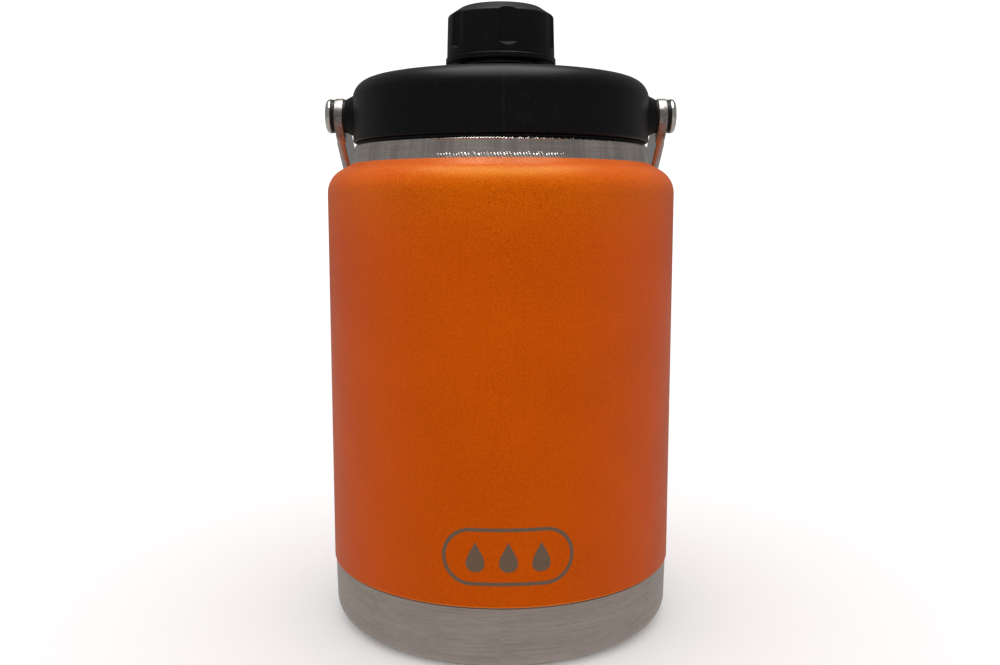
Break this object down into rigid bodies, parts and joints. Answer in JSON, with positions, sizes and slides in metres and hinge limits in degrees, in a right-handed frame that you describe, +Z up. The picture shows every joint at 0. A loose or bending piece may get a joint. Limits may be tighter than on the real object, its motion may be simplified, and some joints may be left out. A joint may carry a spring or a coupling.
{
  "type": "insulated drinks jug",
  "caption": "Insulated steel drinks jug with a painted body, a bare steel base band, a black screw lid with a swinging bail handle, and a small fluted screw cap over its spout.",
  "frame": {"origin": "centre of the face that the jug stands on, on the vessel's axis", "axes": "+Z up along the vessel's axis, -Y towards the front, +X to the right, along the handle's pivots"},
  "size_m": [0.1362, 0.1491, 0.2375],
  "materials": {
    "painted_steel": "fine-grained orange powder coat",
    "band_steel": "brushed, warm grey",
    "neck_steel": "brushed round the neck",
    "liner_steel": "satin, electropolished",
    "handle_steel": "brushed along the strap",
    "pin_steel": "polished",
    "lid_black": "satin moulded, finely grained",
    "cap_black": "satin moulded, finely grained",
    "plug_grey": "moulded",
    "silicone": "satin silicone",
    "washer_black": "satin",
    "foam": "closed-cell foam",
    "insert_brass": "turned",
    "magnet_nickel": "nickel plated",
    "seal_grey": "matt",
    "getter_grey": "sintered, matt"
  },
  "bodies": {
    "vessel": {"outer_wall": "painted_steel", "base_cup": "band_steel", "base_plate": "band_steel", "seal_plug": "seal_grey", "getter": "getter_grey", "inner_liner": "liner_steel", "neck_collar": "neck_steel"},
    "lid_seal": {"lid_gasket": "silicone"},
    "lid": {"lid_shell": "lid_black", "lid_plug": "plug_grey", "lid_foam": "foam", "spout": "plug_grey", "spout_seal": "silicone", "dock_pad": "lid_black", "dock_magnet": "magnet_nickel", "pivot_insert_left": "insert_brass", "pivot_insert_right": "insert_brass", "inner_washer_left": "washer_black", "inner_washer_right": "washer_black", "outer_washer_left": "washer_black", "outer_washer_right": "washer_black", "pivot_pin_left": "pin_steel", "pivot_pin_right": "pin_steel"},
    "handle": {"handle": "handle_steel"},
    "cap_seal": {"cap_gasket": "silicone"},
    "cap": {"cap_shell": "cap_black", "cap_liner": "cap_black", "cap_magnet": "magnet_nickel"}
  },
  "joints": [
    {"name": "lid_lift", "type": "slide", "parent": "vessel", "child": "lid_seal", "axis": [0, 0, 1], "range_m": [0, 0.0175]},
    {"name": "lid_turn", "type": "hinge", "parent": "lid_seal", "child": "lid", "pos_m": [0, 0, 0.186], "axis": [0, 0, 1], "range_deg": [0, 630]},
    {"name": "handle_swing", "type": "hinge", "parent": "lid", "child": "handle", "pos_m": [0, 0, 0.1969], "axis": [1, 0, 0], "range_deg": [0, 246.5]},
    {"name": "cap_lift", "type": "slide", "parent": "lid", "child": "cap_seal", "axis": [0, 0, 1], "range_m": [0, 0.016]},
    {"name": "cap_turn", "type": "hinge", "parent": "cap_seal", "child": "cap", "pos_m": [0, 0, 0.2155], "axis": [0, 0, 1], "range_deg": [0, 720]}
  ],
  "couplings": [
    {"joint": "lid_lift", "follows": "lid_turn", "m_per_rad": 0.0015915},
    {"joint": "cap_lift", "follows": "cap_turn", "m_per_rad": 0.0012732}
  ]
}
